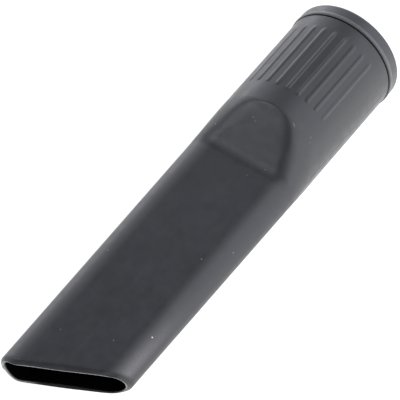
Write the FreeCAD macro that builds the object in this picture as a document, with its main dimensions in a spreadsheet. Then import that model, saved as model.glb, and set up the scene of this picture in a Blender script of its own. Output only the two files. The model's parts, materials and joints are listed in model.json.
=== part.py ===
import FreeCAD, Part
import os
import re
import Sketcher

# Crevice nozzle, in millimetres: the moulded duct, and the collar ring on its socket end.
#
# Each piece is drawn on the duct's own axes, with the origin at the centre of the socket's mouth:
# -Y runs down the duct towards the slanted mouth, X is across its flat and Z is square to the flat.
# rest_on_table() then tips both pieces as the nozzle lies on a table, with +Z up: on the edge
# under the start of its ramp and on the lower lip of its mouth.

DIMENSIONS = {
    # hose socket, a tube that narrows slightly away from its mouth
    "bore_radius": 17.6,
    "bore_length": 46.0,
    "socket_radius": 19.4,
    "socket_end_radius": 18.9,
    # collar ring, an L section pressed over a spigot on the socket's end
    "collar_radius": 19.8,
    "collar_length": 6.0,
    "collar_lip": 1.2,
    "collar_round": 1.1,
    "spigot_radius": 18.7,
    # grip ribs, in one fan above the socket and one below it
    "grip_start": 11.0,
    "grip_end": 40.5,
    "rib_width": 1.1,
    "rib_height": 0.35,
    "rib_root": 0.6,
    "rib_pitch_angle": 11.5,
    # ramp from the round socket to the flat lance
    "ramp_start": 48.9,
    "ramp_end": 64.6,
    # flat lance, measured where the ramp ends and again at the tip
    "lance_width": 38.8,
    "lance_height": 14.6,
    "tip_width": 35.4,
    "tip_height": 12.5,
    "wall": 2.0,
    # how far in from the half-round sides the ramp's widest place stops
    "shoulder_inset": 1.3,
    # slanted mouth with a square tip on its long side, both measured along the duct, and its lean,
    # which puts the upper lip further along than the lower one
    "tip_length": 164.4,
    "mouth_length": 158.0,
    "mouth_slant_angle": 27.5,
    "mouth_lean_angle": 4.0,
    # how it lies on a table
    "rest_pitch_angle": 6.65,
    "rest_roll_angle": 3.2,
    # half the arc at the top of a circle that lofts onto an oval's flat
    "split_angle": 5.0,
    # how far a cutting shape reaches past the part
    "clearance": 5.0,
}
RIBS_EACH_SIDE_OF_MIDDLE = 4
TOLERANCE = 0.001
# A sketch's name for a point of a line or an arc.
START = 1
END = 2
CENTRE = 3
# Places along the ramp, as fractions of its length, where the side's rounding is set.
RAMP_STATIONS = (1 / 3, 2 / 3)

doc = FreeCAD.newDocument("crevice_nozzle")


def make_sheet():
    """Put each driving dimension in a cell that has its name."""
    sheet = doc.addObject("Spreadsheet::Sheet", "Dimensions")
    for row, (alias, value) in enumerate(DIMENSIONS.items(), start=1):
        sheet.set(f"A{row}", alias)
        sheet.set(f"B{row}", str(value))
        sheet.setAlias(f"B{row}", alias)
    doc.recompute()


def on_sheet(expression):
    """Spell an expression so that its dimension names point at the sheet's cells."""
    aliases = "|".join(DIMENSIONS)
    return re.sub(rf"\b({aliases})\b", r"Dimensions.\1", expression)


def bind(item, name, expression):
    item.setExpression(name, on_sheet(expression))


def value_of(item, expression):
    return float(item.evalExpression(on_sheet(expression)))


# Sketches -------------------------------------------------------------------------------------

def origin_feature(body, role):
    """The body's own origin plane or axis with this role."""
    return next(item for item in body.Origin.OriginFeatures if item.Role == role)


def make_sketch(body, name, plane, distance="0"):
    """A sketch on one of the body's origin planes, or at a distance along the plane's normal."""
    sketch = body.newObject("Sketcher::SketchObject", name)
    sketch.AttachmentSupport = [(origin_feature(body, plane), "")]
    sketch.MapMode = "FlatFace"
    bind(sketch, "AttachmentOffset.Base.z", distance)
    return sketch


def pin(sketch, kind, geometry, point, expression):
    """Hold a point of the sketch at a distance from the origin, along one axis."""
    start = value_of(sketch, expression)
    index = sketch.addConstraint(Sketcher.Constraint(kind, -1, 1, geometry, point, start))
    bind(sketch, f"Constraints[{index}]", expression)


def pin_point(sketch, geometry, point, across, up):
    """Hold a point of the sketch at the place that two expressions give."""
    pin(sketch, "DistanceX", geometry, point, across)
    pin(sketch, "DistanceY", geometry, point, up)


def close_loop(sketch, edges):
    """Join each edge's end to the start of the next one, all the way round."""
    for edge, following in zip(edges, edges[1:] + edges[:1]):
        sketch.addConstraint(Sketcher.Constraint("Coincident", edge, END, following, START))


def draw_outline(sketch, corners):
    """A closed outline of straight lines through corners given as pairs of expressions."""
    places = [FreeCAD.Vector(value_of(sketch, x), value_of(sketch, y), 0) for x, y in corners]
    lines = []
    for start, end in zip(places, places[1:] + places[:1]):
        lines.append(sketch.addGeometry(Part.LineSegment(start, end)))
    close_loop(sketch, lines)
    for line, (across, up) in zip(lines, corners):
        pin_point(sketch, line, START, across, up)


def draw_section(sketch, half_width, half_height, corner_across, corner_up, round_top=False):
    """A section of four edges, mirrored about both axes: two round sides, a top and a bottom.

    The edges meet at corner_across, corner_up and its mirror images.
    """
    right = FreeCAD.Vector(value_of(sketch, half_width), 0, 0)
    top = FreeCAD.Vector(0, value_of(sketch, half_height), 0)
    corner = FreeCAD.Vector(value_of(sketch, corner_across), value_of(sketch, corner_up), 0)
    mirrored = FreeCAD.Vector(-corner.x, corner.y, 0)

    def add_side(start, middle, end):
        return sketch.addGeometry(Part.Arc(start, middle, end))

    def add_top(start, middle, end):
        if round_top:
            return add_side(start, middle, end)
        return sketch.addGeometry(Part.LineSegment(start, end))

    edges = [
        add_side(-mirrored, right, corner),
        add_top(corner, top, mirrored),
        add_side(mirrored, -right, -corner),
        add_top(-corner, -top, -mirrored),
    ]
    close_loop(sketch, edges)
    starts = ((corner_across, f"-({corner_up})"), (corner_across, corner_up),
              (f"-({corner_across})", corner_up), (f"-({corner_across})", f"-({corner_up})"))
    for edge, (across, up) in zip(edges, starts):
        pin_point(sketch, edge, START, across, up)
    return edges


def draw_flat_oval(sketch, half_width, half_height):
    """An oval with flat top and bottom and half-round sides, centred on the sketch's origin."""
    flat = f"({half_width} - ({half_height}))"
    edges = draw_section(sketch, half_width, half_height, flat, half_height)
    pin(sketch, "DistanceX", edges[0], CENTRE, flat)
    pin(sketch, "DistanceX", edges[2], CENTRE, f"-{flat}")


def draw_circle(sketch, radius):
    """A circle in four arcs, so that each one lofts onto an edge of a flat oval."""
    edges = draw_section(sketch, radius, radius, f"{radius} * sin(split_angle)",
                         f"{radius} * cos(split_angle)", round_top=True)
    for edge, kind in zip(edges, ("DistanceX", "DistanceY", "DistanceX", "DistanceY")):
        pin(sketch, kind, edge, CENTRE, "0")


# Features -------------------------------------------------------------------------------------

def make_body(label):
    body = doc.addObject("PartDesign::Body", label)
    body.Label = label
    return body


def turn(body, kind, name, sketch):
    """Revolve a sketch on the YZ plane about the duct's axis."""
    feature = body.newObject(kind, name)
    feature.Profile = sketch
    feature.ReferenceAxis = (sketch, ["H_Axis"])
    feature.Angle = 360
    doc.recompute()
    return feature


def loft(body, kind, name, sketches):
    """Join sections with straight rulings."""
    feature = body.newObject(kind, name)
    feature.Profile = sketches[0]
    feature.Sections = sketches[1:]
    feature.Ruled = True
    doc.recompute()
    return feature


def cut_through(body, name, sketch):
    """Cut a sketch's outline right through the body, both ways from its plane."""
    feature = body.newObject("PartDesign::Pocket", name)
    feature.Profile = sketch
    feature.Type = "ThroughAll"
    feature.Midplane = True
    doc.recompute()
    return feature


# Nozzle body ----------------------------------------------------------------------------------

def socket_radius_at(distance):
    """The tapered socket's outer radius, as an expression on the distance from its mouth."""
    fall = "(socket_radius - socket_end_radius)"
    return f"socket_radius - {fall} * ({distance} - collar_length) / (ramp_start - collar_length)"


def add_socket(body):
    """The round socket as a solid, with the spigot that the collar sits on."""
    sketch = make_sketch(body, "SocketProfile", "YZ_Plane")
    draw_outline(sketch, (
        ("-collar_lip", "0"),
        ("-collar_lip", "spigot_radius"),
        ("-collar_length", "spigot_radius"),
        ("-collar_length", "socket_radius"),
        ("-ramp_start", "socket_end_radius"),
        ("-ramp_start", "0"),
    ))
    turn(body, "PartDesign::Revolution", "Socket", sketch)


def half_past_tip(throat_size, tip_size):
    """Half a size of the lance, carried on in line to a clearance past its tip."""
    return f"({tip_size} - ({throat_size} - {tip_size}) * clearance / (tip_length - ramp_end)) / 2"


def half_width_at(fraction):
    """Half the duct's width at a fraction of the ramp's length."""
    return f"(socket_end_radius + {fraction} * (lance_width / 2 - socket_end_radius))"


def rounding_at(fraction):
    """Radius of the duct's side at a fraction of the ramp's length.

    The arc meets the ramp at the edge of its D shape, which widens quickly and then runs straight.
    """
    lid = f"(socket_end_radius - {fraction} * (socket_end_radius - lance_height / 2))"
    widest = "((lance_width - lance_height) / 2 - shoulder_inset)"
    run = f"({half_width_at(fraction)} - {widest} * sqrt(1 - (1 - {fraction}) ^ 3))"
    return f"({run} ^ 2 + {lid} ^ 2) / (2 * {run})"


def add_lance(body):
    """The stretch from the socket's end to past the tip, before its ramps and mouth are cut."""
    start = make_sketch(body, "LanceStart", "XZ_Plane", "ramp_start")
    draw_circle(start, "socket_end_radius")
    sections = [start]
    for number, fraction in enumerate(RAMP_STATIONS, start=1):
        place = f"ramp_start + {fraction} * (ramp_end - ramp_start)"
        section = make_sketch(body, f"RampSection{number}", "XZ_Plane", place)
        draw_flat_oval(section, half_width_at(fraction), rounding_at(fraction))
        sections.append(section)
    throat = make_sketch(body, "LanceThroat", "XZ_Plane", "ramp_end")
    draw_flat_oval(throat, "lance_width / 2", "lance_height / 2")
    end = make_sketch(body, "LanceEnd", "XZ_Plane", "tip_length + clearance")
    draw_flat_oval(end, half_past_tip("lance_width", "tip_width"),
                   half_past_tip("lance_height", "tip_height"))
    loft(body, "PartDesign::AdditiveLoft", "Lance", [*sections, throat, end])


def cut_ramps(body):
    """Slice the shoulder flat above and below, which leaves a D-shaped ramp on each face."""
    sketch = make_sketch(body, "RampProfile", "YZ_Plane")
    for side in ("", "-"):
        draw_outline(sketch, (
            ("-ramp_start", f"{side}socket_end_radius"),
            ("-ramp_end", f"{side}lance_height / 2"),
            ("-ramp_end", f"{side}(socket_end_radius + clearance)"),
            ("-ramp_start", f"{side}(socket_end_radius + clearance)"),
        ))
    cut_through(body, "Ramps", sketch)


def add_ribs(body):
    """A fan of grip ribs on the top of the socket, and the same fan below."""
    sketch = make_sketch(body, "RibProfile", "YZ_Plane")
    near = socket_radius_at("grip_start")
    far = socket_radius_at("grip_end")
    draw_outline(sketch, (
        ("-grip_start", f"{near} - rib_root"),
        ("-grip_start", f"{near} + rib_height"),
        ("-grip_end", f"{far} + rib_height"),
        ("-grip_end", f"{far} - rib_root"),
    ))
    rib = body.newObject("PartDesign::Pad", "Rib")
    rib.Profile = sketch
    rib.Midplane = True
    bind(rib, "Length", "rib_width")
    doc.recompute()

    fans = body.newObject("PartDesign::MultiTransform", "Ribs")
    fans.Originals = [rib]
    half_fan = body.newObject("PartDesign::PolarPattern", "HalfFan")
    half_fan.Axis = (sketch, ["H_Axis"])
    half_fan.Occurrences = RIBS_EACH_SIDE_OF_MIDDLE + 1
    bind(half_fan, "Angle", f"rib_pitch_angle * {RIBS_EACH_SIDE_OF_MIDDLE}")
    other_half = body.newObject("PartDesign::Mirrored", "OtherHalf")
    other_half.MirrorPlane = (origin_feature(body, "YZ_Plane"), [""])
    below = body.newObject("PartDesign::Mirrored", "Below")
    below.MirrorPlane = (origin_feature(body, "XY_Plane"), [""])
    fans.Transformations = [half_fan, other_half, below]
    body.Tip = fans
    doc.recompute()


def cut_bore(body):
    """The round hose socket's bore."""
    sketch = make_sketch(body, "BoreProfile", "YZ_Plane")
    draw_outline(sketch, (
        ("clearance", "0"),
        ("clearance", "bore_radius"),
        ("-bore_length", "bore_radius"),
        ("-bore_length", "0"),
    ))
    turn(body, "PartDesign::Groove", "Bore", sketch)


def cut_duct(body):
    """The inside of the ramp and of the flat lance, one wall thickness in."""
    start = make_sketch(body, "DuctStart", "XZ_Plane", "bore_length")
    draw_circle(start, "bore_radius")
    throat = make_sketch(body, "DuctThroat", "XZ_Plane", "ramp_end")
    draw_flat_oval(throat, "lance_width / 2 - wall", "lance_height / 2 - wall")
    end = make_sketch(body, "DuctEnd", "XZ_Plane", "tip_length + clearance")
    draw_flat_oval(end, half_past_tip("lance_width", "tip_width") + " - wall",
                   half_past_tip("lance_height", "tip_height") + " - wall")
    loft(body, "PartDesign::SubtractiveLoft", "Duct", [start, throat, end])


def cut_mouth(body):
    """Cut the lance's end on the slant, up to the square tip on its long side, and at a lean."""
    sketch = make_sketch(body, "MouthProfile", "XY_Plane")
    sketch.AttachmentOffset = FreeCAD.Placement(
        sketch.AttachmentOffset.Base,
        FreeCAD.Rotation(FreeCAD.Vector(1, 0, 0), DIMENSIONS["mouth_lean_angle"]))
    bind(sketch, "AttachmentOffset.Rotation.Angle", "mouth_lean_angle")
    side = "(lance_width / 2 + clearance)"
    past_end = "(tip_length + 2 * clearance)"
    outline = (
        (f"-{side}", "tip_length"),
        ("-(tip_length - mouth_length) / tan(mouth_slant_angle)", "tip_length"),
        (side, f"(mouth_length - {side} * tan(mouth_slant_angle))"),
        (side, past_end),
        (f"-{side}", past_end),
    )
    draw_outline(sketch, [(x, f"-{along} * cos(mouth_lean_angle)") for x, along in outline])
    cut_through(body, "Mouth", sketch)


def make_nozzle_body():
    body = make_body("nozzle_body")
    add_socket(body)
    add_lance(body)
    cut_ramps(body)
    add_ribs(body)
    cut_bore(body)
    cut_duct(body)
    cut_mouth(body)
    return body


# End collar -----------------------------------------------------------------------------------

def outermost_edge(shape):
    """Name of the ring's widest edge on its end face, the plane of the socket's mouth."""
    widths = {}
    for number, edge in enumerate(shape.Edges, start=1):
        box = edge.BoundBox
        if abs(box.YMin) < TOLERANCE and abs(box.YMax) < TOLERANCE:
            widths[f"Edge{number}"] = box.XLength
    return max(widths, key=widths.get)


def make_end_collar():
    """The ring over the spigot, with a lip that covers the duct's end."""
    body = make_body("end_collar")
    sketch = make_sketch(body, "CollarProfile", "YZ_Plane")
    draw_outline(sketch, (
        ("0", "bore_radius"),
        ("0", "collar_radius"),
        ("-collar_length", "collar_radius"),
        ("-collar_length", "spigot_radius"),
        ("-collar_lip", "spigot_radius"),
        ("-collar_lip", "bore_radius"),
    ))
    ring = turn(body, "PartDesign::Revolution", "Ring", sketch)

    rounding = body.newObject("PartDesign::Fillet", "OuterRounding")
    rounding.Base = (ring, [outermost_edge(ring.Shape)])
    bind(rounding, "Radius", "collar_round")
    doc.recompute()
    return body


# Placing, checking and writing ----------------------------------------------------------------

def rest_on_table(body):
    """Tip a piece from the duct's axes to the way that the nozzle lies on a table."""
    pitch = FreeCAD.Rotation(FreeCAD.Vector(1, 0, 0), DIMENSIONS["rest_pitch_angle"])
    roll = FreeCAD.Rotation(FreeCAD.Vector(0, 1, 0), DIMENSIONS["rest_roll_angle"])
    body.Placement = FreeCAD.Placement(FreeCAD.Vector(), pitch.multiply(roll))


def check(bodies):
    """Stop if any object failed to build or any piece isn't one sound solid."""
    for item in doc.Objects:
        if "Invalid" in item.State or "Error" in item.State:
            raise RuntimeError(f"{item.Label} failed: {item.State}")
    for body in bodies:
        shape = body.Shape
        if shape.isNull() or not shape.isValid() or len(shape.Solids) != 1:
            raise RuntimeError(f"{body.Label} is not one valid solid")


make_sheet()
pieces = [make_nozzle_body(), make_end_collar()]
for piece in pieces:
    rest_on_table(piece)
doc.recompute()
check(pieces)
os.makedirs("parts", exist_ok=True)
for piece in pieces:
    piece.Shape.exportStep(f"parts/{piece.Label}.step")
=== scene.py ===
"""A crevice nozzle: its moulded duct and its collar ring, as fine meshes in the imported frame.

Shapes are worked out on the duct's own axes, the ones that part.py uses: the origin is the centre of
the socket's mouth, "along" is the distance down the duct, "across" is +X and "height" is square to the
duct's flat. An angle round the duct, "turn", starts at the middle of the upper flat and goes to +X.
"""
import json
import math

import bpy
import numpy as np
from mathutils import Matrix, Vector


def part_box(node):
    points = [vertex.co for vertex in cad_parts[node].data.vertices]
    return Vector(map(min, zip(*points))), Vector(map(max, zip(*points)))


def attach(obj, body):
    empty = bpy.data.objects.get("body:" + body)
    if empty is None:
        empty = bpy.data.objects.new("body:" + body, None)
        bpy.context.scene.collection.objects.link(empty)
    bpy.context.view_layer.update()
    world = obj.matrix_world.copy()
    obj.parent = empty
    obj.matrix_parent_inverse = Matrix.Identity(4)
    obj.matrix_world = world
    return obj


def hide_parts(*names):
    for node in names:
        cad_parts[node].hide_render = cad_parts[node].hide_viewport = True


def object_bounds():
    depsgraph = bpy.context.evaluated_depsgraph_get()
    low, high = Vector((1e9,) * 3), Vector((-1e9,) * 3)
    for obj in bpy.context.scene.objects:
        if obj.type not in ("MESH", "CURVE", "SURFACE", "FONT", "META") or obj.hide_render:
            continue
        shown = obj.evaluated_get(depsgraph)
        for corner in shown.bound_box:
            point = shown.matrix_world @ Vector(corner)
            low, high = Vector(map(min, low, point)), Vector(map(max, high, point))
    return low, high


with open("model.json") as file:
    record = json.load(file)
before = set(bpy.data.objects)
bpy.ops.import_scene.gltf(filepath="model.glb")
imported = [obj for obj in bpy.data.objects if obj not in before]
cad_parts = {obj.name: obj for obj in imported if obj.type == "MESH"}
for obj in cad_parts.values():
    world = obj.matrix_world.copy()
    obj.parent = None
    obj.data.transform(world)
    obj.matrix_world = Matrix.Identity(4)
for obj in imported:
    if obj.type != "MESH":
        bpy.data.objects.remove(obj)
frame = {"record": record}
cad_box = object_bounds()

MM = 0.001
ROOT = "root"

# Sizes that the frame gives.
MOUNT = frame["record"]["mounts"][0]
BORE_RADIUS = MOUNT["dims"]["r_mm"] * MM
BORE_LENGTH = MOUNT["dims"]["length_mm"] * MM
REST_PITCH = math.atan2(MOUNT["axis"][2], MOUNT["axis"][1])
COLLAR_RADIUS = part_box("end_collar")[1].x

# The other sizes of part.py.
REST_ROLL = math.radians(3.2)
COLLAR_LENGTH = 6.0 * MM
COLLAR_LIP = 1.2 * MM
SPIGOT_RADIUS = 18.7 * MM
SOCKET_RADIUS = 19.4 * MM
SOCKET_END_RADIUS = 18.9 * MM
RIB_PITCH = math.radians(11.5)
RIBS_EACH_SIDE = 4
RIB_START = 11.0 * MM
RIB_END = 40.5 * MM
RIB_HALF_WIDTH = 0.55 * MM
RAMP_START = 48.9 * MM
RAMP_END = 64.6 * MM
SHOULDER_INSET = 1.3 * MM
LANCE_HALF_WIDTH = 19.4 * MM
LANCE_HALF_HEIGHT = 7.3 * MM
TIP_HALF_WIDTH = 17.7 * MM
TIP_HALF_HEIGHT = 6.25 * MM
TIP_LENGTH = 164.4 * MM
MOUTH_LENGTH = 158.0 * MM
MOUTH_SLANT = math.tan(math.radians(27.5))
MOUTH_LEAN = math.tan(math.radians(4))

# The lance's wall, which is thinner at the sides, and below where the lance nears its mouth.
WALL = 2.1 * MM
SIDE_WALL = 1.6 * MM
LOWER_WALL = 1.2 * MM
THIN_START = 115 * MM
THIN_END = 145 * MM
# The cosines of the turns between which the mouth's wall goes from thin to full.
THIN_TURNS = (-0.5, 0.5)

# Grip ribs, a little lower than part.py's, with soft flanks and a slow rise at the collar's end.
RIB_HEIGHT = 0.26 * MM
RIB_FLANK = 0.85 * MM
RIB_FADE = 2.2 * MM

# How soft the ramp's outline, the bend from the ramp to the lance and the square tip's corner are.
RAMP_EDGE_SOFTNESS = 1.3 * MM
RAMP_BEND_SOFTNESS = 1.6 * MM
TIP_CORNER_SOFTNESS = 0.8 * MM
# The softness of the other edges, and how deep the ramp's shoulder is where it is fully soft.
SHARPEST = 0.01 * MM
SHOULDER_FADE = 1 * MM

# The parting line, a fine ridge along both sides.
SEAM_HEIGHT = 0.05 * MM
SEAM_HALF_WIDTH = 0.16 * MM

# The joint behind the collar: a groove in the duct, then the duct's rounded shoulder.
JOINT_START = 5.6 * MM
JOINT_EDGE = 0.05 * MM
GROOVE_RADIUS = 18.95 * MM
SHOULDER_START = 5.95 * MM
SHOULDER_ROUNDING = 0.3 * MM
SPIGOT_BEVEL = 0.1 * MM
BORE_BEVEL = 0.2 * MM
SEAT_GAP = 0.03 * MM

# The collar ring's roundings, and the bead round its front.
BACK_ROUNDING = 1.2 * MM
FRONT_ROUNDING = 0.45 * MM
SEAT_ROUNDING = 0.15 * MM
BEAD_START = 4.0 * MM
BEAD_RUN = 0.7 * MM
BEAD_HEIGHT = 0.12 * MM

# The mouth's lip: a chamfer outside, a narrow crest, and an arris that rounds it to the inner wall.
LIP_ROUNDING = 1.5 * MM
LOWER_LIP_ROUNDING = 0.35 * MM
LIP_SQUARENESS = 1.85
LIP_CREST = 0.1 * MM

# Moulding flash that stands ragged out of the lip at the tip's left end. Its reach is a mean and
# waves, each with a size, a number and a shift.
FLASH_TURN = math.radians(-88)
FLASH_SPREAD = math.radians(13)
FLASH_REACH = 0.4 * MM
FLASH_MEAN = 0.55
FLASH_WAVES = ((0.3, 9, 1), (0.25, 23, 0))

# How much wear, and so how much paler, the plastic is on the ribs, the collar's bead and the flash. On the
# bead the paleness is also a painted highlight.
RIB_WEAR = 0.02
BEAD_WEAR_AND_HIGHLIGHT = 0.15
FLASH_WEAR = 0.8

# The lip's arris has a painted highlight above and painted shade below, by the cosine of the turn.
ARRIS_TURNS = (-0.7, 0.2)

# A pale band of painted highlight along the arris at the lower left: its middle turn, how far to each side
# it is full and how far it reaches, and its place and width on the arris, all in degrees.
LOW_LEFT_HIGHLIGHT = 0.8
LOW_LEFT_TURN = 251
LOW_LEFT_CORE = 7.8
LOW_LEFT_SPREAD = 26
LOW_LEFT_INSET = 50
LOW_LEFT_WIDTH = 14

# A painted highlight: a pale band along the lance's upper right side, near the tip. Its turn and spread are
# in degrees.
SIDE_HIGHLIGHT = 0.22
SIDE_HIGHLIGHT_TURN = 75
SIDE_HIGHLIGHT_SPREAD = 6
SIDE_HIGHLIGHT_START = 115 * MM
SIDE_HIGHLIGHT_FULL = 150 * MM

# Painted shade: how far inside the duct the bore and the bore's end count as, from 0 to 1, which darkens
# them.
BORE_SHADE = 0.6
BORE_END_SHADE = 0.5

# How the outer surface and the mouth's edge are searched for.
REACH_BRACKET = (2 * MM, 24 * MM)
REACH_HALVINGS = 30
RING_PASSES = 6

# How finely the pieces are divided round the duct.
FLANK_POINTS = 6
GAP_POINTS = 3
RIB_TOP_OFFSET = 0.15 * MM
SIDE_POINTS = 64
CLOSEST_POINTS = 0.05 * MM
COLLAR_SIDES = 256

# How finely they are divided along it. From LANCE_START the rows slant more and more, to the mouth.
ROUNDING_STEPS = 10
SHOULDER_STEP = 1.2 * MM
FLANK_STEP = RIB_FLANK / 6
RIB_STEP = 1.8 * MM
SOCKET_STEP = 1.0 * MM
RAMP_STEP = 0.35 * MM
RAMP_LEAD = 3 * MM
LANCE_START = 70 * MM
LANCE_ROWS = 36
LANCE_SETBACK = 1.5 * LIP_ROUNDING
INNER_ROWS = 18
INNER_SETBACK = 2 * LIP_ROUNDING
INNER_STEP = 2.0 * MM
BORE_STEP = 4.0 * MM


def smooth_max(a, b, softness):
    """The larger of two values, eased where they are within softness of each other."""
    overlap = np.maximum(softness - np.abs(a - b), 0)
    return np.maximum(a, b) + overlap ** 2 / (4 * softness)


def smooth_step(value, start, end):
    """0 before start, 1 after end, and an S curve between them."""
    share = np.clip((value - start) / (end - start), 0, 1)
    return share * share * (3 - 2 * share)


def turned_off(turn, centre):
    """The angle from a centre to a turn, either way round."""
    return np.arctan2(np.sin(turn - centre), np.cos(turn - centre))


# The duct's sections ---------------------------------------------------------------------------

def socket_radius(along):
    """The tapered socket's outer radius."""
    return np.interp(along, (COLLAR_LENGTH, RAMP_START), (SOCKET_RADIUS, SOCKET_END_RADIUS))


def half_width(along):
    """Half the duct's greatest outer width."""
    taper = np.interp(along, (RAMP_START, RAMP_END, TIP_LENGTH),
                      (SOCKET_END_RADIUS, LANCE_HALF_WIDTH, TIP_HALF_WIDTH))
    return np.where(along < RAMP_START, socket_radius(along), taper)


def half_height(along):
    """Half the flat lance's outer height."""
    return np.interp(along, (RAMP_END, TIP_LENGTH), (LANCE_HALF_HEIGHT, TIP_HALF_HEIGHT))


def lid_height(along):
    """Height of the flat that cuts the duct above: the ramp, then the lance."""
    slope = (SOCKET_END_RADIUS - LANCE_HALF_HEIGHT) / (RAMP_END - RAMP_START)
    ramp = SOCKET_END_RADIUS - slope * (along - RAMP_START)
    return smooth_max(ramp, half_height(along), RAMP_BEND_SOFTNESS)


def flat_half_width(along):
    """Half the width of the flat: a rounded arch on the ramp, then the flat part of the lance."""
    share = np.clip((along - RAMP_START) / (RAMP_END - RAMP_START), 0, 1)
    widest = half_width(along) - half_height(along) - SHOULDER_INSET
    return widest * np.sqrt(1 - (1 - share) ** 3)


def side_oval(along):
    """Half the width and the height of the oval whose arc is the duct's side, outside the flat."""
    run = half_width(along) - flat_half_width(along)
    lid = lid_height(along)
    round_side = (run ** 2 + lid ** 2) / (2 * run)
    wide = np.where(run < lid, round_side, run)
    tall = np.where(run < lid, round_side, lid)
    socket = along < RAMP_START
    return np.where(socket, socket_radius(along), wide), np.where(socket, socket_radius(along), tall)


def outside(across, height, along):
    """Below zero inside the duct's outer surface and above zero outside it, about a distance."""
    wide, tall = side_oval(along)
    beyond = np.abs(across) - (half_width(along) - wide)
    side = (np.hypot(np.maximum(beyond, 0) / wide, height / tall) - 1) * tall + np.minimum(beyond, 0) / 2
    lid = np.abs(height) - lid_height(along)
    shoulder = smooth_step(tall, lid_height(along), lid_height(along) + SHOULDER_FADE)
    return smooth_max(side, lid, RAMP_EDGE_SOFTNESS * shoulder + SHARPEST)


def outer_reach(turn, along):
    """Distance from the duct's axis to its outer surface."""
    near, far = (np.full(np.shape(along), reach) for reach in REACH_BRACKET)
    for _ in range(REACH_HALVINGS):
        middle = (near + far) / 2
        inside = outside(middle * np.sin(turn), middle * np.cos(turn), along) < 0
        near = np.where(inside, middle, near)
        far = np.where(inside, far, middle)
    return middle


def oval_reach(turn, width, height):
    """Distance from the axis to an oval of these half sizes, with flat faces and half-round sides."""
    centre = width - height
    flat = height / np.maximum(np.abs(np.cos(turn)), 1e-6)
    offset = centre * np.abs(np.sin(turn))
    side = offset + np.sqrt(np.maximum(height ** 2 - (centre * np.cos(turn)) ** 2, 0))
    return np.where(flat * np.abs(np.sin(turn)) <= centre, flat, side)


def lip_wall(turn):
    """The wall's thickness at the mouth, which is thinner below than above."""
    return LOWER_WALL + (WALL - LOWER_WALL) * smooth_step(np.cos(turn), *THIN_TURNS)


def inner_reach(turn, along):
    """Distance from the axis to the duct's inner surface."""
    places = (BORE_LENGTH, RAMP_END, TIP_LENGTH)
    width = np.interp(along, places,
                      (BORE_RADIUS, LANCE_HALF_WIDTH - SIDE_WALL, TIP_HALF_WIDTH - SIDE_WALL))
    height = np.interp(along, places, (BORE_RADIUS, LANCE_HALF_HEIGHT - WALL, TIP_HALF_HEIGHT - WALL))
    height = height + (WALL - lip_wall(turn)) * smooth_step(along, THIN_START, THIN_END)
    return oval_reach(turn, width, height)


def mouth_end(across, height):
    """How far along the duct its slanted, leaning mouth is, with the square tip on the long side."""
    slant = MOUTH_LENGTH - across * MOUTH_SLANT
    end = -smooth_max(-slant, np.full(np.shape(across), -TIP_LENGTH), TIP_CORNER_SOFTNESS)
    return end + height * MOUTH_LEAN


def rib_centres():
    """The turns of the grip ribs, above and below."""
    fan = np.arange(-RIBS_EACH_SIDE, RIBS_EACH_SIDE + 1) * RIB_PITCH
    return np.concatenate((fan, fan + math.pi))


def rib_rise(turn, along):
    """How far the grip ribs stand up from the socket."""
    rise = np.zeros(np.broadcast(turn, along).shape)
    half_flank = RIB_FLANK / 2
    for centre in rib_centres():
        off = np.abs(turned_off(turn, centre)) * SOCKET_RADIUS
        rise += 1 - smooth_step(off, RIB_HALF_WIDTH - half_flank, RIB_HALF_WIDTH + half_flank)
    ends = smooth_step(along, RIB_START - half_flank, RIB_START + RIB_FADE)
    ends = ends * (1 - smooth_step(along, RIB_END - half_flank, RIB_END + half_flank))
    return RIB_HEIGHT * rise * ends


def seam_rise(turn):
    """How far the parting line stands up on each side."""
    off = np.abs(np.cos(turn)) * SOCKET_RADIUS
    return SEAM_HEIGHT * (1 - smooth_step(off, 0, 2 * SEAM_HALF_WIDTH))


def seamed_reach(turn, along):
    """Distance from the axis to the outer surface with its parting line."""
    return outer_reach(turn, along) + seam_rise(turn)


def between_walls(inward):
    """The function that gives a surface's reach, when it is part of the way in from the outer wall."""
    def reach_at(turn, along):
        outer = outer_reach(turn, along)
        return outer + (inner_reach(turn, along) - outer) * inward
    return reach_at


def flash_reach(turn):
    """How far the ragged moulding flash stands out of the lip."""
    off = turned_off(turn, FLASH_TURN) / FLASH_SPREAD
    ragged = FLASH_MEAN + sum(size * np.sin(waves * off + shift) for size, waves, shift in FLASH_WAVES)
    return FLASH_REACH * np.maximum(ragged, 0) * (1 - smooth_step(np.abs(off), 0.5, 1))


def lip_sizes(turn):
    """Sizes of the lip's outer chamfer, larger above than below, and of its inner arris."""
    upper = (1 + np.cos(turn)) / 2
    chamfer = LOWER_LIP_ROUNDING + (LIP_ROUNDING - LOWER_LIP_ROUNDING) * upper
    return chamfer, lip_wall(turn) - LIP_CREST - chamfer


# Sampling --------------------------------------------------------------------------------------

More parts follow.
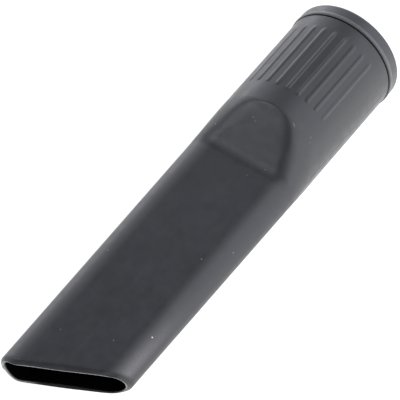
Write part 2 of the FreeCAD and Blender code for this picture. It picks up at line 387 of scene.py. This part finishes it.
def turn_samples():
    """Turns round the duct: close at the ribs' flanks and the seams, even on the round sides."""
    reach = RIB_HALF_WIDTH + RIB_FLANK / 2
    flank = np.linspace(RIB_HALF_WIDTH - RIB_FLANK / 2, reach, FLANK_POINTS)
    rib = np.concatenate((-flank[::-1], (-RIB_TOP_OFFSET, RIB_TOP_OFFSET), flank)) / SOCKET_RADIUS
    gap = np.linspace(reach, RIB_PITCH * SOCKET_RADIUS - reach, GAP_POINTS + 2)[1:-1] / SOCKET_RADIUS
    fan = [centre + offset for centre in rib_centres() for offset in (*rib, *gap)]
    seam = SEAM_HALF_WIDTH * np.array((0.5, 1, 1.5, 2)) / SOCKET_RADIUS
    seams = [side + offset for side in (math.pi / 2, -math.pi / 2) for offset in (*-seam[::-1], 0, *seam)]
    fan_edge = RIBS_EACH_SIDE * RIB_PITCH + 2 * reach / SOCKET_RADIUS
    side = np.linspace(fan_edge, math.pi - fan_edge, SIDE_POINTS)
    turns = np.sort(np.mod([*fan, *seams, *side, *-side], 2 * math.pi))
    apart = np.diff(turns, append=turns[0] + 2 * math.pi) > CLOSEST_POINTS / SOCKET_RADIUS
    return turns[apart]


def spread(start, end, step):
    """Places from start up to but not including end, evenly spaced at about step."""
    count = max(1, round(abs(end - start) / step))
    return np.linspace(start, end, count, endpoint=False)


def quarter_turn():
    """Angles of the points of a quarter round."""
    return np.linspace(0, math.pi / 2, ROUNDING_STEPS)


def ring(turn, reach, along):
    """A ring of points across, along and height."""
    reach = np.broadcast_to(reach, turn.shape)
    along = np.broadcast_to(along, turn.shape)
    return np.stack((reach * np.sin(turn), along, reach * np.cos(turn)), axis=-1)


def lance_ring(turn, share, reach_at, setback):
    """A ring on the lance, part of the way from its start to a setback from the mouth."""
    reach = np.full(np.shape(turn), LANCE_HALF_HEIGHT)
    for _ in range(RING_PASSES):
        end = mouth_end(reach * np.sin(turn), reach * np.cos(turn)) - setback
        along = LANCE_START + share * (end - LANCE_START)
        reach = reach_at(turn, along)
    return ring(turn, reach, along)


# The pieces ------------------------------------------------------------------------------------
# A row is a ring of points, how pale each point is from wear and painted highlights, and how much painted
# shade it takes, from 0 to 1, full inside the duct.

def spigot_rows(turn):
    """The spigot in the collar, the groove behind it and the duct's rounded shoulder."""
    for along, radius in ((COLLAR_LIP, BORE_RADIUS + BORE_BEVEL),
                          (COLLAR_LIP, SPIGOT_RADIUS - SPIGOT_BEVEL),
                          (COLLAR_LIP + SPIGOT_BEVEL, SPIGOT_RADIUS),
                          (JOINT_START, SPIGOT_RADIUS),
                          (JOINT_START + JOINT_EDGE, GROOVE_RADIUS),
                          (SHOULDER_START, GROOVE_RADIUS)):
        yield ring(turn, radius, along), 0, 0
    for angle in quarter_turn():
        along = SHOULDER_START + SHOULDER_ROUNDING * (1 - math.cos(angle))
        radius = socket_radius(along) - SHOULDER_ROUNDING * (1 - math.sin(angle))
        yield ring(turn, radius, along), 0, 0


def outer_rows(turn):
    """The ribbed socket, the ramp and the lance, up to a little before the mouth."""
    half_flank = RIB_FLANK / 2
    stations = np.concatenate((
        spread(SHOULDER_START + 2 * SHOULDER_ROUNDING, RIB_START - half_flank, SHOULDER_STEP),
        spread(RIB_START - half_flank, RIB_START + RIB_FADE, FLANK_STEP),
        spread(RIB_START + RIB_FADE, RIB_END - half_flank, RIB_STEP),
        spread(RIB_END - half_flank, RIB_END + half_flank, FLANK_STEP),
        spread(RIB_END + half_flank, RAMP_START - RAMP_LEAD, SOCKET_STEP),
        spread(RAMP_START - RAMP_LEAD, LANCE_START, RAMP_STEP),
    ))
    for station in stations:
        along = np.full(turn.shape, station)
        rise = rib_rise(turn, along)
        yield ring(turn, seamed_reach(turn, along) + rise, along), RIB_WEAR * rise / RIB_HEIGHT, 0
    for share in np.linspace(0, 1, LANCE_ROWS + 1):
        points = lance_ring(turn, share, seamed_reach, LANCE_SETBACK)
        # Painted highlight: a pale band along the lance's right side, growing towards the mouth.
        side_highlight = np.exp(-((np.degrees(turn) - SIDE_HIGHLIGHT_TURN) / SIDE_HIGHLIGHT_SPREAD) ** 2)
        yield points, SIDE_HIGHLIGHT * side_highlight * smooth_step(points[:, 1], SIDE_HIGHLIGHT_START, SIDE_HIGHLIGHT_FULL), 0


def lip_rows(turn):
    """The lip: its chamfer, then the arris, with a painted highlight above and painted shade below, but for
    a painted highlight at the lower left.
    """
    wall = lip_wall(turn)
    chamfer, arris = lip_sizes(turn)
    flash = flash_reach(turn)
    flash_wear = FLASH_WEAR * flash / FLASH_REACH
    above = smooth_step(np.cos(turn), *ARRIS_TURNS)
    # Painted highlight: a pale band on the arris at the lower left.
    low_left_highlight = 1 - smooth_step(np.abs(np.degrees(turn) - LOW_LEFT_TURN), LOW_LEFT_CORE, LOW_LEFT_SPREAD)
    for angle in quarter_turn():
        rise, run = math.sin(angle), math.cos(angle)
        depth = chamfer * (1 - run ** LIP_SQUARENESS)
        setback = chamfer * (1 - rise ** LIP_SQUARENESS) - flash * rise
        yield lance_ring(turn, 1, between_walls(depth / wall), setback), flash_wear * rise ** 2, 0
    for angle in quarter_turn():
        rise, run = math.sin(angle), math.cos(angle)
        depth = wall - arris * (1 - rise)
        setback = arris * (1 - run) - flash * run ** 2
        inset = math.exp(-((math.degrees(angle) - LOW_LEFT_INSET) / LOW_LEFT_WIDTH) ** 2)
        # Paleness: a painted highlight on the upper arris, wear on the flash, and the painted highlight at
        # the lower left.
        wear_and_highlight = above * run ** 3 + flash_wear * run ** 2 + LOW_LEFT_HIGHLIGHT * low_left_highlight * inset
        dark = smooth_step(math.degrees(angle), LOW_LEFT_INSET, 90)
        # Painted shade on the lower arris, lifted on its outer part where the lower-left highlight is
        # painted.
        inside = (1 - above) * (1 - low_left_highlight * (1 - dark))
        yield lance_ring(turn, 1, between_walls(depth / wall), setback), wear_and_highlight, inside


def inner_rows(turn):
    """The inner wall, from just inside the lip back to the bore's end in the collar."""
    # The inner rows take full painted shade, and the bore a little less.
    yield lance_ring(turn, 1, inner_reach, lip_sizes(turn)[1] + LIP_CREST), 0, 1
    for share in np.linspace(1, 0, INNER_ROWS + 1)[1:]:
        yield lance_ring(turn, share, inner_reach, INNER_SETBACK), 0, 1
    for along in spread(LANCE_START, BORE_LENGTH, INNER_STEP)[1:]:
        yield ring(turn, inner_reach(turn, np.full(turn.shape, along)), along), 0, 1
    bore_start = COLLAR_LIP + BORE_BEVEL
    for along in spread(BORE_LENGTH, bore_start, BORE_STEP):
        yield ring(turn, BORE_RADIUS, along), 0, BORE_SHADE
    yield ring(turn, BORE_RADIUS, bore_start), 0, BORE_END_SHADE


def duct_rows(turn):
    """The duct's surface: out along the socket to the mouth's lip, and back inside."""
    for rows in (spigot_rows, outer_rows, lip_rows, inner_rows):
        yield from rows(turn)


def collar_profile():
    """The collar ring's section as pairs of along and radius, round its edge, with a bead in front."""
    body = COLLAR_RADIUS - BEAD_HEIGHT
    turns = quarter_turn()
    seat = [(SEAT_ROUNDING * (1 - math.sin(a)), BORE_RADIUS + SEAT_ROUNDING * (1 - math.cos(a)))
            for a in turns[::-1]]
    back = [(BACK_ROUNDING * (1 - math.sin(a)), body - BACK_ROUNDING * (1 - math.cos(a)))
            for a in turns[::-1]]
    bead = [(along, body + BEAD_HEIGHT * smooth_step(along, BEAD_START, BEAD_START + BEAD_RUN))
            for along in BEAD_START + BEAD_RUN * np.linspace(0, 1, ROUNDING_STEPS)]
    front = [(JOINT_START - FRONT_ROUNDING * (1 - math.sin(a)),
              COLLAR_RADIUS - FRONT_ROUNDING * (1 - math.cos(a))) for a in turns]
    hole = SPIGOT_RADIUS + SEAT_GAP
    return seat + back + bead + front + [(JOINT_START, hole), (COLLAR_LIP, hole), (COLLAR_LIP, BORE_RADIUS)]


def collar_rows(turn):
    """The collar ring's surface, its bead a little paler from wear and from a painted highlight."""
    for along, radius in collar_profile():
        # The bead is paler from wear and a painted highlight.
        bead = smooth_step(along, BEAD_START, BEAD_START + BEAD_RUN) * (radius > SOCKET_RADIUS)
        yield ring(turn, radius, along), BEAD_WEAR_AND_HIGHLIGHT * bead, 0


def rest_matrix():
    """From the duct's axes to the way that the nozzle lies on the table."""
    return Matrix.Rotation(REST_PITCH, 4, "X") @ Matrix.Rotation(REST_ROLL, 4, "Y")


def tube(name, turn, rows):
    """A piece with a closed skin through its rows, with the last row joined to the first.

    Faces between rows that take full painted shade, the wholly inner rows, take the piece's second, darker
    material.
    """
    rings, wear_and_highlight, inner = zip(*rows)
    wear_and_highlight, inner = (np.array([np.broadcast_to(value, turn.shape) for value in values], dtype=float)
                   for values in (wear_and_highlight, inner))
    corner = np.arange(wear_and_highlight.size).reshape(wear_and_highlight.shape)
    ahead = np.roll(corner, -1, axis=0)
    quads = np.stack((corner, ahead, np.roll(ahead, -1, axis=1), np.roll(corner, -1, axis=1)), axis=-1)
    points = np.array(rings).reshape(-1, 3) * (1, -1, 1)
    mesh = bpy.data.meshes.new(name)
    mesh.from_pydata(points.tolist(), [], quads.reshape(-1, 4).tolist())
    for label, values in (("wear_and_highlight", wear_and_highlight), ("inner", inner)):
        mesh.attributes.new(label, "FLOAT", "POINT").data.foreach_set("value", values.ravel())
    deep = np.minimum(inner, np.roll(inner, -1, axis=0)).min(axis=1) == 1
    mesh.polygons.foreach_set("material_index", np.repeat(deep, turn.size).astype(np.int32))
    mesh.transform(rest_matrix())
    mesh.shade_smooth()
    piece = bpy.data.objects.new(name, mesh)
    bpy.context.scene.collection.objects.link(piece)
    return piece


# Materials -------------------------------------------------------------------------------------

DUCT_COLOURS = (0.0115, 0.0122, 0.0142), (0.0175, 0.0184, 0.021)
COLLAR_COLOURS = (0.016, 0.0195, 0.0205), (0.0235, 0.028, 0.0295)
WEAR_AND_HIGHLIGHT_COLOUR = (0.5, 0.48, 0.48, 1)
SPECK_COLOUR = (0.55, 0.55, 0.55, 1)
SCUFF_COLOUR = (0.09, 0.095, 0.10, 1)
# Painted shade: the near-black colour of the duct's inside.
INSIDE_SHADE_COLOUR = (0.0015, 0.0016, 0.0018, 1)

# Nicks on the duct: across, along and height, length and width, lean in degrees, and paleness.
DUCT_NICKS = (
    (-13.9, 59.5, 9.6, 0.3, 0.2, 0, 0.3),
    (-3.6, 54.0, 15.1, 0.12, 0.8, 8, 0.15),
    (-2.4, 54.7, 14.6, 0.12, 0.6, 8, 0.15),
    (8.2, 64.3, 7.4, 0.16, 0.4, 25, 0.2),
    (4.7, 69.0, 7.3, 0.2, 0.25, 0, 0.2),
    (8.9, 50.0, 16.5, 0.9, 0.18, 62, 0.25),
    (14.4, 48.0, 12.3, 0.2, 0.4, 30, 0.12),
    (15.0, 49.5, 11.6, 0.2, 0.35, 30, 0.08),
    (14.9, 134.0, 5.3, 0.32, 0.26, 0, 1.0),
    (-7.9, 148.0, 6.4, 0.25, 0.2, 10, 0.2),
    (6.8, 142.0, 6.5, 0.22, 0.2, 0, 0.25),
    (11.2, 103.5, 6.9, 0.3, 0.2, 0, 0.3),
    (16.8, 94.5, 4.5, 0.3, 0.2, -20, 0.2),
    (-13.7, 117.0, 6.1, 0.3, 0.2, 0, 0.3),
)
NICK_DEPTH = 1.5

# Dust: how many cells in a millimetre may hold a speck, the share of them that don't, and the specks'
# greatest size and soft edge, as parts of a cell, and their paleness.
DUST_CELLS = 0.22
DUST_FREE = 0.72
DUST_SIZE = 0.045
DUST_EDGE = 0.02
DUST_PALENESS = 0.2


def add(tree, kind, inputs=(), **settings):
    """A node with its settings, whose inputs are given values or linked to other nodes' outputs."""
    node = tree.nodes.new(kind)
    for name, value in settings.items():
        setattr(node, name, value)
    for name, value in dict(inputs).items():
        if isinstance(value, bpy.types.NodeSocket):
            tree.links.new(value, node.inputs[name])
        else:
            node.inputs[name].default_value = value
    return node


def noise(tree, place, scale, detail=3.0, stretch=(1, 1, 1)):
    """Noise from 0 to 1 with features of about 1/scale millimetres, or longer where stretched."""
    squeezed = add(tree, "ShaderNodeVectorMath", {0: place, 1: stretch}, operation="DIVIDE").outputs[0]
    texture = add(tree, "ShaderNodeTexNoise", {"Vector": squeezed, "Scale": scale, "Detail": detail})
    return texture.outputs["Fac"]


def remap(tree, value, start, end, low=0.0, high=1.0):
    """A value between start and end, mapped to one between low and high."""
    return add(tree, "ShaderNodeMapRange", {0: value, 1: start, 2: end, 3: low, 4: high}).outputs[0]


def calculate(tree, operation, first, second=0.0):
    """A sum of two values, or another operation on them."""
    return add(tree, "ShaderNodeMath", {0: first, 1: second}, operation=operation).outputs[0]


def weighted_sum(tree, start, terms):
    """A starting value plus each term's value times its weight."""
    total = start
    for value, weight in terms:
        total = calculate(tree, "ADD", total, calculate(tree, "MULTIPLY", value, weight))
    return total


def blend(tree, share, first, second):
    """A mix of two colours."""
    return add(tree, "ShaderNodeMix", {0: share, 6: first, 7: second}, data_type="RGBA").outputs[2]


def duct_place(tree):
    """Where a point is on the duct's own axes, in millimetres: across, minus along, height."""
    place = add(tree, "ShaderNodeTexCoord").outputs["Object"]
    turn = rest_matrix().to_euler()
    return add(tree, "ShaderNodeMapping", {"Vector": place, "Rotation": turn, "Scale": (MM,) * 3},
               vector_type="TEXTURE").outputs[0]


def attribute(tree, name):
    """The mesh's own value of this name at each point."""
    return add(tree, "ShaderNodeAttribute", attribute_name=name).outputs["Fac"]


def nick_mask(tree, place, nicks):
    """How pale small nicks in the surface are: each has a place, a size, a lean and a paleness."""
    total = 0.0
    for across, along, height, length, width, lean, paleness in nicks:
        local = add(tree, "ShaderNodeMapping",
                    {"Vector": place, "Location": (across, -along, height),
                     "Rotation": (0, 0, math.radians(lean)), "Scale": (width, length, NICK_DEPTH)},
                    vector_type="TEXTURE").outputs[0]
        reach = add(tree, "ShaderNodeVectorMath", {0: local}, operation="LENGTH").outputs["Value"]
        total = calculate(tree, "ADD", total, remap(tree, reach, 1.0, 0.5, 0.0, paleness))
    return calculate(tree, "MINIMUM", total, 1.0)


def dust_mask(tree, place):
    """How pale sparse specks of dust are, of uneven sizes."""
    cells = add(tree, "ShaderNodeTexVoronoi", {"Vector": place, "Scale": DUST_CELLS})
    chance = add(tree, "ShaderNodeSeparateColor", {0: cells.outputs["Color"]}).outputs[0]
    size = remap(tree, chance, DUST_FREE, 1.0, 0.0, DUST_SIZE)
    edge = calculate(tree, "SUBTRACT", size, cells.outputs["Distance"])
    return remap(tree, edge, 0.0, DUST_EDGE, 0.0, DUST_PALENESS)


def plastic(name, colours, nicks=(), shine=0.5):
    """Dark satin plastic with a fine grain, drag marks, dust, nicks, pale edges from wear, and painted
    highlights.

    It mixes a base colour and a lighter one, and painted shade darkens it inside the duct. Scales are per
    millimetre, and the bump's heights are in millimetres.
    """
    material = bpy.data.materials.new(name)
    material.use_nodes = True
    tree = material.node_tree
    tree.nodes.clear()
    place = duct_place(tree)
    flow = noise(tree, place, 0.09, 4.0, (1, 2.2, 1))
    grain = noise(tree, place, 2.4, 2.0)
    fine_grain = noise(tree, place, 7.0, 2.0)
    drag = noise(tree, place, 1.6, 3.0, (1, 30, 1))
    wave = noise(tree, place, 0.055, 1.0)
    patches = noise(tree, place, 0.35, 4.0)
    wear_and_highlight = attribute(tree, "wear_and_highlight")
    inner = attribute(tree, "inner")
    marks = calculate(tree, "MAXIMUM", nick_mask(tree, place, nicks), dust_mask(tree, place))
    specks = calculate(tree, "MULTIPLY", marks, calculate(tree, "SUBTRACT", 1.0, inner))

    base, light = colours
    colour = blend(tree, remap(tree, flow, 0.3, 0.7), (*base, 1), (*light, 1))
    speckle = remap(tree, fine_grain, 0.35, 0.65, 0.0, 0.35)
    colour = blend(tree, speckle, colour, (*[1.5 * part for part in light], 1))
    scuffed = calculate(tree, "MULTIPLY", remap(tree, drag, 0.62, 0.78),
                        remap(tree, patches, 0.45, 0.7, 0.0, 0.15))
    colour = blend(tree, scuffed, colour, SCUFF_COLOUR)
    pale_share = calculate(tree, "MULTIPLY", wear_and_highlight, remap(tree, grain, 0.25, 0.6, 0.4, 0.8))
    # Wear, and painted highlights on the lip, the lance's side and the bead, lighten the colour.
    colour = blend(tree, pale_share, colour, WEAR_AND_HIGHLIGHT_COLOUR)
    colour = blend(tree, specks, colour, SPECK_COLOUR)
    # Painted shade: the duct's inside is blended to near black.
    colour = blend(tree, inner, colour, INSIDE_SHADE_COLOUR)

    sheen = calculate(tree, "ADD", remap(tree, patches, 0.3, 0.7, 0.31, 0.41),
                      remap(tree, drag, 0.3, 0.7, -0.02, 0.03))
    roughness = weighted_sum(tree, sheen, ((specks, 0.3), (inner, 0.5)))
    height = weighted_sum(tree, 0.0, ((grain, 0.010), (fine_grain, 0.003), (drag, 0.004), (wave, 0.25),
                                      (specks, 0.05)))
    bump = add(tree, "ShaderNodeBump", {"Height": height, "Strength": 1.0, "Distance": MM}).outputs[0]
    shader = add(tree, "ShaderNodeBsdfPrincipled",
                 {"Base Color": colour, "Roughness": roughness, "Normal": bump,
                  "Specular IOR Level": shine})
    add(tree, "ShaderNodeOutputMaterial", {"Surface": shader.outputs[0]})
    return material


# Scene -----------------------------------------------------------------------------------------

FLOOR_SIZE = 6.0
FLOOR_GREY = 0.3
# The floor glows more towards the right: two places across it, and the light at each.
GLOW_PLACES = (-0.02, 0.10)
GLOW_LIGHTS = (0.8, 1.8)

# Each wall of light: the direction it is in, how narrow it is, and its light at each rise.
STUDIO_RISES = (0.09, 0.26, 0.42, 0.57, 0.71, 0.82, 0.91, 0.98)
STUDIO_WALLS = (
    (25, 2, (2.1, 2.1, 2.15, 2.3, 2.45, 2.45, 1.7, 0.5)),
    (122, 2, (3.2, 2.3, 1.6, 1.6, 1.4, 0.65, 0.3, 0.3)),
    (195, 4, (1.4, 1.0, 0.5, 0.3, 0.4, 0.5, 0.3, 0.3)),
    (226, 6, (0.3, 0.3, 0.4, 1.3, 3.0, 3.1, 1.0, 0.3)),
    (300, 2, (0.02, 0.02, 0.03, 0.06, 0.3, 0.45, 0.4, 0.3)),
)
SOFTBOX_TURN = -5
SOFTBOX_RISE = 14
SOFTBOX_REACH = (35, 10)
SOFTBOX_LIGHT = 1.0
STUDIO_TINT = (0.98, 0.985, 1.06)

CAMERA_AZIMUTH = math.radians(30.9)
CAMERA_ELEVATION = math.radians(45.5)
CAMERA_ROLL = math.radians(4.97)
CAMERA_DISTANCE = 533.2 * MM
CAMERA_AIM_OFFSET = Vector((-2.17, -3.25, -1.99)) * MM
CAMERA_LENS = 155.23
CAMERA_SENSOR = 36


def make_floor():
    """A plain pale floor that the nozzle rests on, evened out by a faint glow of its own."""
    bpy.ops.mesh.primitive_plane_add(size=FLOOR_SIZE, location=(0, 0, cad_box[0].z))
    floor = bpy.context.object
    floor.name = "floor"
    material = bpy.data.materials.new("floor_white")
    material.use_nodes = True
    tree = material.node_tree
    shader = tree.nodes["Principled BSDF"]
    shader.inputs["Base Color"].default_value = (FLOOR_GREY, FLOOR_GREY, FLOOR_GREY, 1)
    shader.inputs["Roughness"].default_value = 1.0
    place = add(tree, "ShaderNodeTexCoord").outputs["Object"]
    right = add(tree, "ShaderNodeSeparateXYZ", {0: place}).outputs[0]
    glow = remap(tree, right, *GLOW_PLACES, *GLOW_LIGHTS)
    shader.inputs["Emission Color"].default_value = (1, 1, 1, 1)
    tree.links.new(glow, shader.inputs["Emission Strength"])
    floor.data.materials.append(material)


def compass(turn, rise=0):
    """The direction at an angle round from +X and another up from the floor, in degrees."""
    turn, rise = math.radians(turn), math.radians(rise)
    return math.cos(turn) * math.cos(rise), math.sin(turn) * math.cos(rise), math.sin(rise)


def facing(tree, direction, towards):
    """How nearly one direction faces another: 1 where they are the same."""
    return add(tree, "ShaderNodeVectorMath", {0: direction, 1: towards},
               operation="DOT_PRODUCT").outputs["Value"]


def soft_box(tree, direction):
    """A round soft box, which fades out at its edge."""
    edge, core = (math.cos(math.radians(reach)) for reach in SOFTBOX_REACH)
    towards = compass(SOFTBOX_TURN, SOFTBOX_RISE)
    return add(tree, "ShaderNodeMapRange",
               {0: facing(tree, direction, towards), 1: edge, 2: core, 3: 0.0, 4: SOFTBOX_LIGHT},
               interpolation_type="SMOOTHSTEP").outputs[0]


def wall_light(tree, rise, level, turn, narrowness, lights):
    """A wall of light in one direction, with its own light at each rise."""
    nearness = calculate(tree, "MAXIMUM", facing(tree, level, compass(turn)), 0.0)
    share = calculate(tree, "POWER", nearness, narrowness)
    ramp = add(tree, "ShaderNodeValToRGB", {0: rise})
    elements = ramp.color_ramp.elements
    elements.remove(elements[1])
    for index, (place, light) in enumerate(zip(STUDIO_RISES, lights)):
        stop = elements.new(place) if index else elements[0]
        stop.position = place
        stop.color = (light, light, light, 1)
    return add(tree, "ShaderNodeVectorMath", {0: ramp.outputs[0], "Scale": share},
               operation="SCALE").outputs[0]


def make_world():
    """A soft studio: walls of light that fade into each other, dark overhead, and a soft box."""
    world = bpy.data.worlds.new("studio")
    bpy.context.scene.world = world
    world.use_nodes = True
    tree = world.node_tree
    tree.nodes.clear()
    direction = add(tree, "ShaderNodeTexCoord").outputs["Generated"]
    rise = add(tree, "ShaderNodeSeparateXYZ", {0: direction}).outputs[2]
    level = add(tree, "ShaderNodeVectorMath", {0: direction, 1: (1, 1, 0)}, operation="MULTIPLY").outputs[0]
    level = add(tree, "ShaderNodeVectorMath", {0: level}, operation="NORMALIZE").outputs[0]
    total = soft_box(tree, direction)
    for wall in STUDIO_WALLS:
        light = wall_light(tree, rise, level, *wall)
        total = add(tree, "ShaderNodeVectorMath", {0: total, 1: light}, operation="ADD").outputs[0]
    tint = add(tree, "ShaderNodeVectorMath", {0: total, 1: STUDIO_TINT}, operation="MULTIPLY").outputs[0]
    background = add(tree, "ShaderNodeBackground", {"Color": tint})
    add(tree, "ShaderNodeOutputWorld", {"Surface": background.outputs[0]})


def make_camera():
    """A long lens that looks down at the nozzle from in front of its mouth, a little to the right."""
    flat = math.cos(CAMERA_ELEVATION)
    back = Vector((math.sin(CAMERA_AZIMUTH) * flat, -math.cos(CAMERA_AZIMUTH) * flat,
                   math.sin(CAMERA_ELEVATION)))
    aim = (cad_box[0] + cad_box[1]) / 2 + CAMERA_AIM_OFFSET
    data = bpy.data.cameras.new("camera")
    data.lens = CAMERA_LENS
    data.sensor_width = CAMERA_SENSOR
    data.clip_start = 10 * MM
    camera = bpy.data.objects.new("camera", data)
    bpy.context.scene.collection.objects.link(camera)
    camera.location = aim + back * CAMERA_DISTANCE
    turn = (-back).to_track_quat("-Z", "Y").to_matrix() @ Matrix.Rotation(CAMERA_ROLL, 3, "Z")
    camera.rotation_euler = turn.to_euler()
    bpy.context.scene.camera = camera


def make_duct():
    """The moulded duct, with painted shade on its inside as a second, dark material."""
    turn = turn_samples()
    duct = tube("duct_shell", turn, duct_rows(turn))
    duct.data.materials.append(plastic("duct_plastic", DUCT_COLOURS, DUCT_NICKS))
    # The second material is painted shade: the same plastic without its shine.
    duct.data.materials.append(plastic("duct_inside_shade", DUCT_COLOURS, shine=0.0))
    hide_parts("nozzle_body")
    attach(duct, ROOT)


def make_collar():
    """The ring pressed over the duct's spigot."""
    turn = np.linspace(0, 2 * math.pi, COLLAR_SIDES, endpoint=False)
    collar = tube("collar_ring", turn, collar_rows(turn))
    collar.data.materials.append(plastic("collar_plastic", COLLAR_COLOURS))
    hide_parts("end_collar")
    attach(collar, ROOT)


make_duct()
make_collar()
make_floor()
make_world()
make_camera()
bpy.context.scene.view_settings.view_transform = "Standard"
